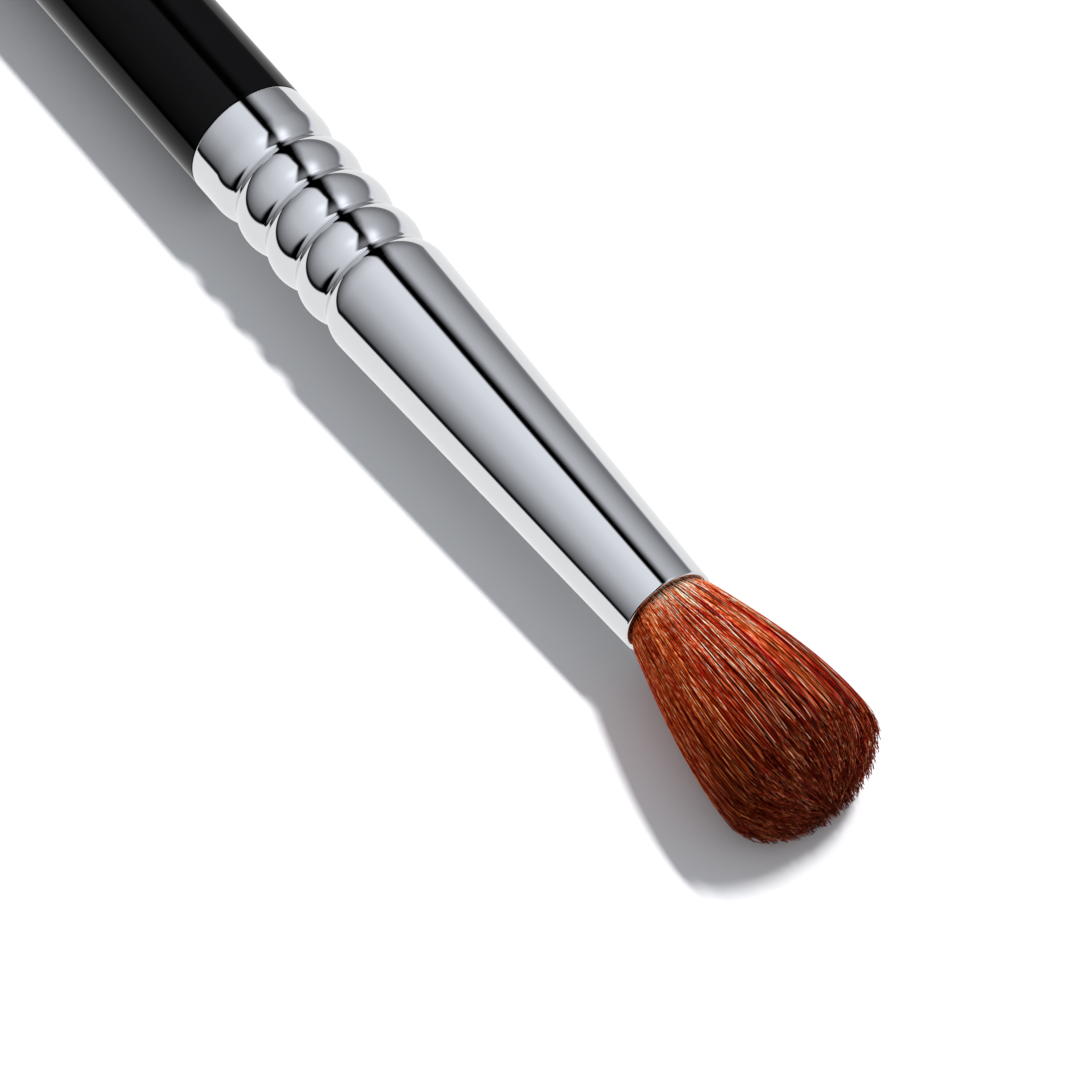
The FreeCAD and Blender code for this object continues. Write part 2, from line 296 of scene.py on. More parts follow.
def paleFloor():
    reach = studio["floorReach"]
    steps = 8
    grid = [[(reach * (2 * k / steps - 1), reach * (2 * i / steps - 1), 0.0) for k in range(steps + 1)]
            for i in range(steps + 1)]
    obj = addObject("paleFloor", gridMesh("paleFloor", grid))
    paint, nodes, links = newPaint("paleFloor")
    shader = nodes["Principled BSDF"]
    shader.inputs["Base Color"].default_value = studio["floorColour"]
    shader.inputs["Roughness"].default_value = 1.0
    shader.inputs["Specular IOR Level"].default_value = 0.0
    path = nodes.new("ShaderNodeLightPath")
    lift = nodes.new("ShaderNodeEmission")
    lifted = nodes.new("ShaderNodeAddShader")
    place = nodes.new("ShaderNodeTexCoord")
    away = nodes.new("ShaderNodeVectorMath")
    away.operation = "LENGTH"
    links.new(place.outputs["Object"], away.inputs[0])
    level = rangeNode(nodes, links, away.outputs["Value"], *studio["floorLift"], *studio["liftPlace"])
    glow = mathNode(nodes, links, "MULTIPLY", path.outputs["Is Camera Ray"], level.outputs["Result"])
    links.new(glow, lift.inputs["Strength"])
    links.new(shader.outputs["BSDF"], lifted.inputs[0])
    links.new(lift.outputs["Emission"], lifted.inputs[1])
    links.new(lifted.outputs["Shader"], nodes["Material Output"].inputs["Surface"])
    paint.cycles.emission_sampling = "NONE"
    obj.data.materials.append(paint)
    obj.visible_glossy = False  # metal sees the white room and the tent instead


def paleWorld():
    world = bpy.data.worlds.new("paleRoom")
    world.use_nodes = True
    nodes, links = world.node_tree.nodes, world.node_tree.links
    back = nodes["Background"]
    ray = nodes.new("ShaderNodeLightPath").outputs  # white to the camera, and by way of metal or glass
    either = mathNode(nodes, links, "MAXIMUM", ray["Is Glossy Ray"], ray["Is Transmission Ray"])
    straight = rangeNode(nodes, links, ray["Diffuse Depth"], 1.0, studio["bounceShare"])
    mirrored = mathNode(nodes, links, "MULTIPLY", either, straight.outputs["Result"])
    white = mathNode(nodes, links, "MAXIMUM", mirrored, ray["Is Camera Ray"])
    place = nodes.new("ShaderNodeTexCoord")
    split = nodes.new("ShaderNodeSeparateXYZ")
    links.new(place.outputs["Generated"], split.inputs["Vector"])
    fill = rangeNode(nodes, links, split.outputs["Y"], *studio["worldFill"], -1.0, 1.0)
    strength = mathNode(nodes, links, "MAXIMUM", fill.outputs["Result"], white)
    tint = colourMix(nodes)
    tint.inputs[6].default_value = studio["fillColour"]
    tint.inputs[7].default_value = (1, 1, 1, 1)
    links.new(white, tint.inputs[0])
    links.new(tint.outputs[2], back.inputs["Color"])
    links.new(strength, back.inputs["Strength"])
    scene.world = world


def keyLamp():
    data = bpy.data.lights.new("keyLamp", "AREA")
    data.shape = "ELLIPSE"
    data.size, data.size_y = studio["keySize"]
    data.energy = studio["keyPower"]
    lean = math.radians(studio["keyLean"])
    towards = Vector((0, math.sin(lean), math.cos(lean)))
    obj = bpy.data.objects.new("keyLamp", data)
    lit = Vector((mouth.x - studio["keyBack"], 0, axisHeight))  # the place that the lamp points at
    obj.location = lit + towards * studio["keyDistance"]
    obj.rotation_euler = (-towards).to_track_quat("-Z", "Y").to_euler()
    obj.visible_glossy = False  # the tent gives the highlights
    scene.collection.objects.link(obj)


paleFloor()
paleWorld()
lightTent()
keyLamp()
print("studio lit")


# finishes

cloudSpan = (0.3, 0.7)  # the values of the noise that a roughness runs between


def colourBy(nodes, links, shader, source, stops):
    colour = rampNode(nodes, stops)
    links.new(source.outputs["Fac"], colour.inputs["Fac"])
    links.new(colour.outputs["Color"], shader.inputs["Base Color"])


def roughBy(nodes, links, shader, source, roughness, span=(0.0, 1.0)):
    rough = rangeNode(nodes, links, source.outputs["Fac"], *roughness, *span)
    links.new(rough.outputs["Result"], shader.inputs["Roughness"])


def bumpBy(nodes, links, shader, source, bump):
    node = nodes.new("ShaderNodeBump")
    node.inputs["Strength"].default_value, node.inputs["Distance"].default_value = bump
    links.new(source.outputs["Fac"], node.inputs["Height"])
    links.new(node.outputs["Normal"], shader.inputs["Normal"])


plating = {
    "colour": (0.70, 0.71, 0.725, 1),
    "roughness": (0.020, 0.045),
    "cloudScale": 260.0,
    "polishScale": 900.0,
    "polishStretch": (8.0, 1.0, 1.0),  # fine rings left by the polishing
    "polishDetail": 3.0,
    "bump": (0.008, 0.01 * mm),  # strength and depth
}


def brightPlating(p):
    paint, nodes, links = newPaint("brightPlating")
    shader = nodes["Principled BSDF"]
    shader.inputs["Base Color"].default_value = p["colour"]
    shader.inputs["Metallic"].default_value = 1.0
    cloud = noiseNode(nodes, links, p["cloudScale"])
    roughBy(nodes, links, shader, cloud, p["roughness"], cloudSpan)
    polish = noiseNode(nodes, links, p["polishScale"], p["polishStretch"], p["polishDetail"])
    bumpBy(nodes, links, shader, polish, p["bump"])
    return paint


lacquer = {
    "colour": (0.0003, 0.0003, 0.0005, 1),
    "roughness": (0.05, 0.11),
    "specular": 0.115,
    "cloudScale": 180.0,
    "flowScale": 70.0,
    "flowStretch": (0.35, 1.0, 1.0),  # slow waves of the dipped coat
    "flowDetail": 1.0,
    "bump": (0.08, 0.05 * mm),
}


def blackLacquer(c):
    paint, nodes, links = newPaint("blackLacquer")
    shader = nodes["Principled BSDF"]
    shader.inputs["Base Color"].default_value = c["colour"]
    shader.inputs["Specular IOR Level"].default_value = c["specular"]
    cloud = noiseNode(nodes, links, c["cloudScale"])
    roughBy(nodes, links, shader, cloud, c["roughness"], cloudSpan)
    flow = noiseNode(nodes, links, c["flowScale"], c["flowStretch"], c["flowDetail"])
    bumpBy(nodes, links, shader, flow, c["bump"])
    return paint


hairTone = {
    "nearMouth": [(0.0, (0.34, 0.002, 0.0003)), (0.3, (0.61, 0.034, 0.007)),
                  (0.55, (0.93, 0.135, 0.040)), (0.8, (1.0, 0.42, 0.21)), (1.0, (1.0, 0.86, 0.69))],
    "nearTip": [(0.0, (0.090, 0.002, 0.0003)), (0.35, (0.23, 0.021, 0.005)),
                (0.7, (0.55, 0.12, 0.052)), (1.0, (0.88, 0.41, 0.26))],
    "fade": [(0.28, 0.0), (0.48, 0.18), (0.64, 0.50), (0.78, 0.84), (0.92, 1.0)],  # from mouth to tip
    "flicker": 1000.0,  # fine breaks on each strand: random tone and painted glints
    "flickerStretch": (0.45, 9.0, 9.0),
    "flickerDetail": 3.0,
    "flickerSpan": (0.32, 0.68),
    "flickerTone": (-0.42, 0.40),
    "hue": (0.488, 0.516),  # 0.5 leaves the colour as it is, more is more orange
    "roughness": (0.34, 0.52),
    "specular": 0.03,
    "glint": (1.0, 0.75, 0.62, 1),
}


def auburnHair(h):
    paint, nodes, links = newPaint("auburnHair")
    shader = nodes["Principled BSDF"]
    shader.inputs["Specular IOR Level"].default_value = h["specular"]
    shader.inputs["Specular Tint"].default_value = h["glint"]
    # red holds the tone with painted glints, green the place along the strand, blue the brightness with
    # painted shade and light, and alpha the hue
    strand = nodes.new("ShaderNodeAttribute")
    strand.attribute_name = "strandTone"
    split = nodes.new("ShaderNodeSeparateColor")
    links.new(strand.outputs["Color"], split.inputs["Color"])
    # fine random tone and painted glints along the strands
    breaks = noiseNode(nodes, links, h["flicker"], h["flickerStretch"], h["flickerDetail"])
    flicker = rangeNode(nodes, links, breaks.outputs["Fac"], *h["flickerTone"], *h["flickerSpan"])
    tone = mathNode(nodes, links, "ADD", split.outputs["Red"], flicker.outputs["Result"])
    nearMouth, nearTip, fade = [rampNode(nodes, h[k]) for k in ("nearMouth", "nearTip", "fade")]
    links.new(tone, nearMouth.inputs["Fac"])
    links.new(tone, nearTip.inputs["Fac"])
    links.new(split.outputs["Green"], fade.inputs["Fac"])
    colour = colourMix(nodes)
    links.new(fade.outputs["Color"], colour.inputs[0])
    links.new(nearMouth.outputs["Color"], colour.inputs[6])
    links.new(nearTip.outputs["Color"], colour.inputs[7])
    shaded = colourMix(nodes, "MULTIPLY")
    shaded.inputs[0].default_value = 1.0
    links.new(colour.outputs[2], shaded.inputs[6])
    links.new(split.outputs["Blue"], shaded.inputs[7])
    hue = nodes.new("ShaderNodeHueSaturation")
    turn = rangeNode(nodes, links, strand.outputs["Alpha"], *h["hue"])
    links.new(turn.outputs["Result"], hue.inputs["Hue"])
    links.new(shaded.outputs[2], hue.inputs["Color"])
    links.new(hue.outputs["Color"], shader.inputs["Base Color"])
    rough = rangeNode(nodes, links, split.outputs["Red"], *h["roughness"])
    links.new(rough.outputs["Result"], shader.inputs["Roughness"])
    return paint


wood = {
    "colours": [(0.3, (0.46, 0.32, 0.19)), (0.7, (0.70, 0.55, 0.37))],
    "roughness": (0.5, 0.75),
    "grainScale": 420.0,
    "grainStretch": (0.06, 1.0, 1.0),
    "grainDetail": 6.0,
    "bump": (0.3, 0.05 * mm),
}


def turnedWood(w):
    paint, nodes, links = newPaint("turnedWood")
    shader = nodes["Principled BSDF"]
    grain = noiseNode(nodes, links, w["grainScale"], w["grainStretch"], w["grainDetail"])
    colourBy(nodes, links, shader, grain, w["colours"])
    roughBy(nodes, links, shader, grain, w["roughness"])
    bumpBy(nodes, links, shader, grain, w["bump"])
    return paint


glue = {
    "colours": [(0.3, (0.60, 0.50, 0.31)), (0.7, (0.78, 0.69, 0.48))],
    "roughness": (0.2, 0.4),
    "cloudScale": 500.0,
}
resin = {
    "colours": [(0.3, (0.52, 0.40, 0.20)), (0.7, (0.72, 0.59, 0.36))],
    "roughness": (0.2, 0.4),
    "cloudScale": 500.0,
}


def cloudyPaint(name, c):
    paint, nodes, links = newPaint(name)
    shader = nodes["Principled BSDF"]
    cloud = noiseNode(nodes, links, c["cloudScale"])
    colourBy(nodes, links, shader, cloud, c["colours"])
    roughBy(nodes, links, shader, cloud, c["roughness"])
    return paint


thread = {
    "colours": [(0.2, (0.52, 0.49, 0.43)), (0.8, (0.78, 0.76, 0.70))],
    "roughness": 0.85,
    "twistScale": 900.0,
    "twistWander": 1.5,
    "bump": (0.5, 0.03 * mm),
}


def twistedThread(t):
    paint, nodes, links = newPaint("twistedThread")
    shader = nodes["Principled BSDF"]
    shader.inputs["Roughness"].default_value = t["roughness"]
    place = nodes.new("ShaderNodeTexCoord")
    twist = nodes.new("ShaderNodeTexWave")
    twist.inputs["Scale"].default_value = t["twistScale"]
    twist.inputs["Distortion"].default_value = t["twistWander"]
    links.new(place.outputs["Object"], twist.inputs["Vector"])
    colourBy(nodes, links, shader, twist, t["colours"])
    bumpBy(nodes, links, shader, twist, t["bump"])
    return paint


def dressNode(node, paint):
    mesh = frame["nodes"][node].data
    mesh.materials.clear()
    mesh.materials.append(paint)


hairPaint = auburnHair(hairTone)
platingPaint = brightPlating(plating)
lacquerPaint = blackLacquer(lacquer)
dressNode("ferrule", platingPaint)
dressNode("lacquer_coat", lacquerPaint)
dressNode("handle_core", turnedWood(wood))
dressNode("tenon_glue", cloudyPaint("setGlue", glue))
dressNode("resin_plug", cloudyPaint("setResin", resin))
dressNode("binding_thread", twistedThread(thread))
dressNode("hair_root", hairPaint)
dressNode("bristle_head", hairPaint)
print("finishes made")


# turned pieces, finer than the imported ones, with no seam in their shine

sharpTurn = 40  # degrees between faces that the shine doesn't run across


def latheMesh(name, profile, closed, sides=256):
    points, rings = [], []
    for x, r in profile:
        count = sides if r > tiny else 1  # on the axis a ring is one point
        rings.append([len(points) + k for k in range(count)])
        for k in range(count):
            turn = 2 * math.pi * k / sides
            points.append((x, r * math.cos(turn), axisHeight + r * math.sin(turn)))
    faces = []
    for a, b in zip(rings, rings[1:] + rings[:1] if closed else rings[1:]):
        for k in range(sides):
            following = (k + 1) % sides
            corners = [a[k % len(a)], a[following % len(a)], b[following % len(b)], b[k % len(b)]]
            faces.append(list(dict.fromkeys(corners)))
    mesh = bpy.data.meshes.new(name)
    mesh.from_pydata(points, [], faces)
    mesh.shade_smooth()
    mesh.set_sharp_from_angle(angle=math.radians(sharpTurn))
    return mesh


def addTurned(name, profile, closed, paint, node):
    mesh = latheMesh(name, profile, closed)
    mesh.materials.append(paint)
    obj = addObject(name, mesh)
    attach(obj, "brush_stick")
    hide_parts(node)
    print(name, len(mesh.polygons), "faces")


def quarterArc(x, r, radius, start, steps=8):  # from the start angle, a quarter turn to the front
    turn = math.radians(start) - np.linspace(0, math.pi / 2, steps + 1)
    return [(x + radius * math.cos(t), r + radius * math.sin(t)) for t in turn]


ferrule = {
    "cuffLength": 3.9 * mm,
    "beads": 3,
    "beadPitch": 3.12 * mm,
    "grooveDepth": 0.45 * mm,
    "grooveRound": 0.35 * mm,
    "mouthRadius": 2.96 * mm,
    "wall": 0.35 * mm,
    "rim": 0.15 * mm,
    "beadStep": 0.06 * mm,  # spacing of the rings on the beads
    "cuffRings": 6,
    "coneRings": 16,
}


def ferruleTube(f):
    crest = (tubeHigh.y - tubeLow.y) / 2
    back, front = tubeLow.x, tubeHigh.x
    half = f["beadPitch"] / 2
    rollSum = (half ** 2 + f["grooveDepth"] ** 2) / (2 * f["grooveDepth"])
    bead = rollSum - f["grooveRound"]  # radius of a bead's own curve
    firstGroove = back + f["cuffLength"]
    coneStart = firstGroove + f["beads"] * f["beadPitch"] + half
    run, drop = front - coneStart, crest - bead - f["mouthRadius"]
    square = run ** 2 + drop ** 2
    line = math.sqrt(square - bead ** 2)
    coneCos = (run * line - drop * bead) / square
    coneSin = (drop * line + run * bead) / square

    def wallRadius(x, inset):
        away = np.abs((x - firstGroove + half) % f["beadPitch"] - half)
        groove = f["grooveRound"] + inset
        crestArc = crest - bead + np.sqrt(np.maximum((bead - inset) ** 2 - (half - away) ** 2, 0))
        grooveTop = crest - f["grooveDepth"] + f["grooveRound"]
        grooveArc = grooveTop - np.sqrt(np.maximum(groove ** 2 - away ** 2, 0))
        rolled = np.where(away < half * groove / rollSum, grooveArc, crestArc)
        crown = crest - bead + np.sqrt(np.maximum((bead - inset) ** 2 - (x - coneStart) ** 2, 0))
        cone = f["mouthRadius"] - inset / coneCos + (front - x) * coneSin / coneCos
        coneFoot = coneStart + (bead - inset) * coneSin
        ahead = np.where(x > coneFoot, cone, np.where(x > coneStart, crown, rolled))
        return np.where(x < firstGroove - half, crest - inset, ahead)

    rim = f["rim"]
    beadsFrom, beadsTo = firstGroove - half, coneStart + bead * coneSin
    x = np.concatenate([
        np.linspace(back + rim, beadsFrom, f["cuffRings"])[1:-1],
        np.linspace(beadsFrom, beadsTo, round((beadsTo - beadsFrom) / f["beadStep"])),
        np.linspace(beadsTo, front - rim, f["coneRings"])[1:-1]])
    outside = quarterArc(back + rim, crest - rim, rim, 180) + list(zip(x, wallRadius(x, 0.0)))
    outside += quarterArc(front - rim, f["mouthRadius"] - rim, rim, 90)
    x = np.concatenate([[front], x[::-2], [back]])  # every second ring is enough inside
    return outside + list(zip(x, wallRadius(x, f["wall"])))


coat = {
    "straight": 30.0 * mm,  # front of the handle that runs on from the ferrule
    "tailRadius": 2.4 * mm,
    "thickness": 0.12 * mm,
    "edge": 0.05 * mm,
    "edgeSteps": 5,
    "tailRings": 24,
    "taperRings": 90,
}


def coatSkin(c):
    crest, tail = (coatHigh.y - coatLow.y) / 2, c["tailRadius"]
    butt, front = coatLow.x, coatHigh.x
    taperStart = front - c["straight"]
    run = taperStart - butt - tail
    taper = (crest ** 2 + run ** 2 - tail ** 2) / (2 * (crest - tail))  # radius of the long curve
    tailTurn = math.acos(run / (taper - tail))

    def handleRun(inset):
        turn = np.linspace(0, tailTurn, c["tailRings"])
        rounded = zip(butt + tail - (tail - inset) * np.cos(turn), (tail - inset) * np.sin(turn))
        tailEnd = butt + tail - (tail - inset) * math.cos(tailTurn)
        x = np.linspace(tailEnd, taperStart, c["taperRings"])[1:]
        r = crest - taper + np.sqrt((taper - inset) ** 2 - (x - taperStart) ** 2)
        return list(rounded) + list(zip(x, r))

    edge = quarterArc(front - c["edge"], crest - c["edge"], c["edge"], 90, c["edgeSteps"])
    return handleRun(0.0) + edge + [(front, crest - c["thickness"])] + handleRun(c["thickness"])[::-1]


addTurned("ferruleTube", ferruleTube(ferrule), True, platingPaint, "ferrule")
addTurned("lacquerSkin", coatSkin(coat), False, lacquerPaint, "lacquer_coat")
print("turned pieces made")


# the tuft: single strands from inside the ferrule to the dome of the tip

tuft = {
    "seed": 1174,
    "strands": 5200,
    "crowding": 0.42,  # 0.5 spreads them evenly, less sets more of them near the rim
    "rootJitter": 0.025,
    "heart": 0.55,  # shares of the radius that part the heart, the middle and the skin
    "skin": 0.82,
    "rings": 22,
    "sides": 3,
    "bendReach": 17.0 * mm,  # length over which the hair takes up its bend
    # outer form
    "mouthSwell": 0.17 * mm,  # the bundle opens as it leaves the ferrule
    "swellRun": 0.3 * mm,
    "flareCurve": (1.42, 0.42),  # the flare is quicker at first, and levels off
    "domeHeight": 3.4 * mm,
    "domeRound": 2.3,  # 2 is a plain ellipse, more is fuller at the shoulder
    "lean": 0.35 * mm,  # the tip lies a little to -Y
    "leanCurve": 1.6,
    "floorGap": 0.05 * mm,  # the lowest strands lie this far off the table
    "floorSoft": 0.10 * mm,
    # inside the ferrule, where the thread draws the bundle in
    "rootFit": 0.985,  # share of the root's radius that the strands take up
    "waist": 0.17,
    "waistPlace": 7.0 * mm,  # behind the mouth
    "waistRun": 2.4 * mm,
    "lastInside": 0.6 * mm,  # last ring behind the mouth
    # path of a strand, in shares of the bundle's radius
    "clumps": 240,
    "clumpJitter": 0.03,
    "clumpPull": (0.06, 0.30),
    "pullCurve": 1.5,
    "drift": 0.035,
    "driftCurve": 0.8,
    "crossing": 0.40,  # share of strands that lie across their neighbours
    "crossingDrift": 0.13,
    "bow": 0.035,
    "wave": 0.014,
    "waveBeats": (4, 12),
    # end of a strand
    "curl": (0.20, 0.85),  # how far a strand bends in over the dome
    "endShare": 0.975,  # outermost place of a strand that its length is worked out from
    "shorter": 0.85 * mm,
    "broken": 0.08,  # share of strands that end early
    "brokenLength": 5.0 * mm,
    # thickness of a strand
    "strandRadius": (0.032 * mm, 0.059 * mm),
    "rootShare": 0.8,  # radius left at the mouth
    "rootRun": 0.3,  # share of the length over which it comes to its full radius
    "tipShare": 0.35,  # radius left at the very tip
    "tipRun": (0.55, 0.45),  # where it starts to fall, and over which share of the length
    "tipCurve": 1.5,
    # thin light strands on top
    "fine": 760,
    "finePlace": (0.55, 1.0),  # from the middle out, as shares of the area
    "fineRadius": 0.62,
    "fineDrift": 0.07,
    "fineProud": 0.02,
    "fineBroken": 0.3,  # added to the share that ends early
}

golden = math.pi * (3.0 - math.sqrt(5.0))
hairLength = headHigh.x - mouth.x
headRadius = (headHigh.y - headLow.y) / 2
rootRadius = (rootHigh.y - rootLow.y) / 2
widest = hairLength - tuft["domeHeight"]
rootDepth = mouth.x - rootLow.x
insidePlaces = [-rootDepth, -0.5 * rootDepth, -tuft["lastInside"]]  # rings of a strand behind the mouth


def sunflower(count, jitter, rng, crowding=0.5):
    index = np.arange(count) + 0.5
    share = (index / count) ** crowding
    turn = index * golden
    spots = np.stack([share * np.cos(turn), share * np.sin(turn)], 1)
    return spots + rng.normal(0, jitter, spots.shape)


def tuftRadius(u):  # u is the length from the mouth, here and below
    p = np.clip(u / widest, 0, 1)
    swell = tuft["mouthSwell"] * (1 - np.exp(-np.maximum(u, 0) / tuft["swellRun"])) * (1 - p)
    quick, level = tuft["flareCurve"]
    flare = rootRadius + swell + (headRadius - rootRadius) * (quick * p - level * p ** 3)
    drawn = np.exp(-((u + tuft["waistPlace"]) / tuft["waistRun"]) ** 2)
    inside = tuft["rootFit"] * rootRadius * (1 - tuft["waist"] * drawn)
    return np.where(u < 0, inside, flare)


def leanAside(along):
    return tuft["lean"] * along ** tuft["leanCurve"]


def softFloor(z, floor, soft):
    return floor + soft * np.logaddexp(0, (z - floor) / soft)


def roundedOff(p):  # 1 at the foot of the dome and 0 at its top, or the other way about
    return (1 - p ** tuft["domeRound"]) ** (1 / tuft["domeRound"])


def strandPaths(spots, clumpSpots, rng, fine):
    count = len(spots)
    nearest = np.argmin(np.linalg.norm(spots[:, None] - clumpSpots[None], axis=2), 1)
    pull = rng.uniform(*tuft["clumpPull"], count)[:, None]
    drift = rng.normal(0, tuft["drift"] + fine * tuft["fineDrift"], (count, 2))
    across = rng.random(count) < tuft["crossing"]
    drift[across] += rng.normal(0, tuft["crossingDrift"], (across.sum(), 2))
    gather = (clumpSpots[nearest] - spots) * pull

    reached = np.linalg.norm(spots + gather + drift, axis=1)
    share = np.clip(np.maximum(np.linalg.norm(spots, axis=1), reached), 0, tuft["endShare"])
    curl = rng.uniform(*tuft["curl"], count)
    level = share * (1 - curl) / (1 - share * curl)  # share of the dome's width where it comes out
    end = widest + tuft["domeHeight"] * roundedOff(level)
    end -= np.abs(rng.normal(0, tuft["shorter"], count))
    broken = rng.random(count) < tuft["broken"] + tuft["fineBroken"] * fine
    end -= np.where(broken, rng.uniform(0, tuft["brokenLength"], count), 0)
    v = np.linspace(0, 1, tuft["rings"] + 1)
    u = np.concatenate([np.repeat(np.array(insidePlaces)[None], count, 0), end[:, None] * v[None]], 1)
    along = np.clip(u / hairLength, 0, 1)

    bow = rng.normal(0, tuft["bow"] * (1 + fine), (count, 2))
    phase = rng.uniform(0, 2 * math.pi, (count, 2))
    beats = rng.uniform(*tuft["waveBeats"], (count, 2))
    a = along[:, :, None]
    place = spots[:, None] + gather[:, None] * a ** tuft["pullCurve"]
    place += drift[:, None] * a ** tuft["driftCurve"] + bow[:, None] * np.sin(math.pi * a)
    place += tuft["wave"] * np.sqrt(a) * np.sin(beats[:, None] * a + phase[:, None])
    reach = np.linalg.norm(place, axis=2, keepdims=True)
    limit = 1.0 + fine * tuft["fineProud"] * np.sqrt(a)
    place *= np.minimum(1, limit / np.maximum(reach, tiny))

    dome = np.clip((u - widest) / tuft["domeHeight"], 0, 1)
    bent = 1 - curl[:, None] * (1 - roundedOff(dome))
    offset = place * (tuftRadius(u) * bent)[:, :, None]
    y = offset[:, :, 0] - leanAside(along)
    z = axisHeight + offset[:, :, 1]
    z = np.where(along > 0, softFloor(z, tuft["floorGap"], tuft["floorSoft"]), z)
    return np.stack([mouth.x + u, y, z], 2), along


tones = {
    "tone": (0.27, 0.21),  # middle and spread
    "fineTone": 0.26,
    "patch": 0.09,
    "patchBeats": (6, 22),
    "mouthTone": (0.56, 0.12),  # how much lighter the hair starts, as a painted highlight near the mouth, and over which share of its length
    "shade": (-0.15, 0.38),  # middle and spread of the strands' brightness, as powers of e
    "shadeTop": 1.05,
    # painted shade at the roots, where the ferrule's rim shadows them
    "paintedRootShade": 0.25,
    "paintedRootShadeLength": 0.22 * mm,
    "hue": (0.5, 0.25),  # middle and spread
    # painted glints: light stretches in the tone of some strands
    "paintedGlints": 0.54,  # share of strands that have one
    "paintedGlintPlace": (0.0, 0.50),
    "paintedGlintCrowding": 1.4,  # 1 spreads them evenly, more sets them nearer to the mouth
    "paintedGlintLength": (0.03, 0.10),
    "paintedGlintTone": (0.40, 1.00),
    # the two sides of the tuft, with painted light and shade for how the key lamp falls on them
    "left": (0.3, 0.5),  # where the -Y side starts and how wide it is, in shares of the radius
    "leftTone": 0.03,
    # painted warm light on the -Y side, against the bluish fill that lights it
    "leftHue": 0.16,
    "leftCalm": 0.58,  # how much of the lightest tones it lacks, so the shaded side has fewer painted glints
    "right": (0.1, 0.6),  # the same for the +Y side
    "rightFade": 0.13,  # the light part runs on further here, as painted light on the lit side
    "paintedSideShading": (0.30, -0.16),  # change in brightness on the two: painted light on the -Y side, painted shade on the +Y side
    "fadeSpread": 0.10,  # how much strands differ in where they turn dark
}


def strandTones(along, spots, rng, fine):
    count = len(along)
    start, width = tones["left"]
    left = np.clip((-spots[:, 0] - start) / width, 0, 1)
    start, width = tones["right"]
    right = np.clip((spots[:, 0] - start) / width, 0, 1)
    tone = rng.normal(*tones["tone"], count)[:, None] + fine * tones["fineTone"]
    # painted light: the -Y side, in the key lamp's shade, is a little lighter
    tone += (left * tones["leftTone"])[:, None]
    phase = rng.uniform(0, 2 * math.pi, (count, 2, 1))
    beats = rng.uniform(*tones["patchBeats"], (count, 2, 1))
    tone = tone + tones["patch"] * np.sin(beats * along[:, None] + phase).sum(1)
    # painted glints: some strands get one lighter stretch in their tone
    lit = np.where(rng.random(count) < tones["paintedGlints"], rng.uniform(*tones["paintedGlintTone"], count), 0)
    place = np.interp(rng.random(count) ** tones["paintedGlintCrowding"], (0, 1), tones["paintedGlintPlace"])
    length = rng.uniform(*tones["paintedGlintLength"], count)
    glint = lit[:, None] * np.exp(-((along - place[:, None]) / length[:, None]) ** 2)
    tone += glint
    # painted highlight: the hair starts lighter at the mouth
    lighter, run = tones["mouthTone"]
    tone += lighter * np.exp(-(along / run) ** 2)
    # the shaded -Y side loses its lightest tones and so its painted glints
    tone = np.minimum(tone, 1 - tones["leftCalm"] * left[:, None])

    later = along * (1 + rng.normal(0, tones["fadeSpread"], count)[:, None])
    # on the lit +Y side the light part runs on further, as painted light
    later -= tones["rightFade"] * right[:, None]
    # painted shade at the roots, where the ferrule's rim shadows them
    shade = np.clip(along * hairLength / tones["paintedRootShadeLength"], 0, 1)
    shade = tones["paintedRootShade"] + (1 - tones["paintedRootShade"]) * shade
    own = np.minimum(tones["shadeTop"], np.exp(rng.normal(*tones["shade"], count)))[:, None]
    # painted glints also lift a strand's brightness up to the top
    shade = shade * (own + (tones["shadeTop"] - own) * np.clip(glint, 0, 1))
    # painted light on the -Y side and painted shade on the lit +Y side
    shade *= (1 + left * tones["paintedSideShading"][0] + right * tones["paintedSideShading"][1])[:, None]
    # painted warm light on the -Y side
    hue = rng.normal(*tones["hue"], count) + left * tones["leftHue"]
    hue = np.clip(hue, 0, 1)[:, None] * np.ones_like(shade)
    return np.clip(np.stack([tone, later, shade, hue], 2), 0, 1)


def addHair(name, points, faces, tone):
    mesh = bpy.data.meshes.new(name)
    mesh.from_pydata(points, [], faces)
    mesh.shade_smooth()
    colours = mesh.attributes.new("strandTone", "FLOAT_COLOR", "POINT")
    colours.data.foreach_set("color", np.ravel(tone).astype(np.float32))
    mesh.materials.append(hairPaint)
    obj = addObject(name, mesh)
    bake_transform(obj)
    return obj


pack = {  # the closely packed hair under the loose outer strands
    "share": 0.84,
    "dome": 0.40,
    "rings": 60,
    "ringCurve": 0.8,
    "sides": 200,
    "ridges": (47, 83),
    "ridge": 0.02,
    "ridgeStart": (0, 6),
    "ridgeTwist": 3,
    "floorGap": 0.12 * mm,
    "tone": 0.10,
    "ridgeTone": 0.05,
    "shade": 0.8,
    "hue": 0.5,
}


